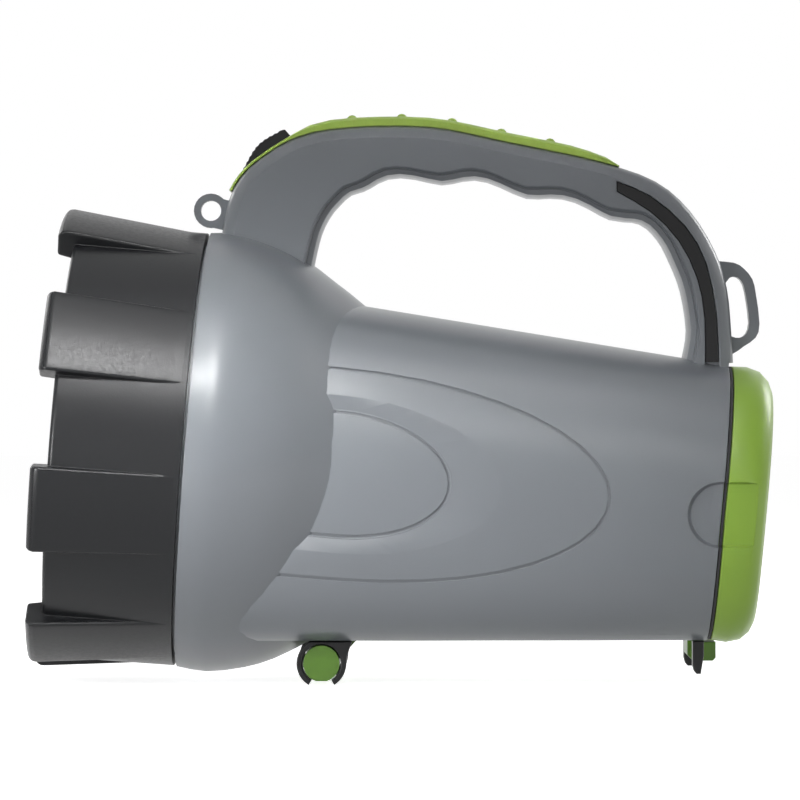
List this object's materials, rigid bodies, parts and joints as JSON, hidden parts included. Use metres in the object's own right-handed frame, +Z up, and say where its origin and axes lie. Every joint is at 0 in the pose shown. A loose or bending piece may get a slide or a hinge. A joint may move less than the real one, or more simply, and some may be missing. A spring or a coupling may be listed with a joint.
{
  "type": "hand spotlight",
  "caption": "Battery hand spotlight: round head behind a castellated bezel, tapered body, D handle with finger grooves and a button, pull-off rear cover and fold-down stand.",
  "frame": {"origin": "under the middle of the bounding box, in the plane of its lowest points, the lower ends of the stand's clips", "axes": "+X to the rear cover, so the lamp points to -X; +Y to the lamp's right seen along its beam; +Z up, from the stand to the handle"},
  "size_m": [0.2455, 0.153, 0.1883],
  "materials": {
    "grey_housing": "satin moulded plastic, mid grey",
    "black_bezel": "fine moulded grain, black",
    "black_moulding": "plain moulded plastic, black",
    "green_trim": "satin moulded plastic, lime green",
    "green_axle": "satin moulded plastic, green",
    "clear_lens": "clear, polished",
    "seal_rubber": "soft, black",
    "bright_reflector": "vacuum metallised, mirror bright",
    "led_yellow": "clear resin over yellow phosphor",
    "board_green": "solder mask, green",
    "sink_aluminium": "bare extruded aluminium",
    "battery_case": "plain moulded plastic, dark grey",
    "indicator_red": "clear red resin"
  },
  "bodies": {
    "body": {"housing_left": "grey_housing", "housing_right": "grey_housing", "bezel": "black_bezel", "lens": "clear_lens", "lens_seal": "seal_rubber", "reflector": "bright_reflector", "led_board": "board_green", "led_emitter": "led_yellow", "heat_sink": "sink_aluminium", "grip_strip": "green_trim", "handle_inlay_left": "black_moulding", "handle_inlay_right": "black_moulding", "push_switch": "black_moulding", "rear_gasket": "seal_rubber", "rear_panel": "grey_housing", "charging_jack": "black_moulding", "charge_indicator": "indicator_red", "stand_clip_left": "black_moulding", "stand_clip_right": "black_moulding", "stand_latch_left": "black_moulding", "stand_latch_right": "black_moulding", "battery_cradle": "black_moulding", "battery_pack": "battery_case", "circuit_board": "board_green"},
    "stand": {"stand_leg": "green_axle"},
    "cover": {"rear_cover": "green_trim"},
    "button": {"switch_button": "black_moulding"}
  },
  "joints": [
    {"name": "stand_swing", "type": "hinge", "parent": "body", "child": "stand", "pos_m": [-0.0257, 0, 0.007], "axis": [0, 1, 0], "range_deg": [0, 100]},
    {"name": "cover_pull", "type": "slide", "parent": "body", "child": "cover", "axis": [0.9957, 0, -0.0924], "range_m": [0, 0.035]},
    {"name": "button_press", "type": "slide", "parent": "body", "child": "button", "axis": [0.6574, 0, -0.7536], "range_m": [0, 0.002], "stiffness_N_per_m": 1000}
  ]
}
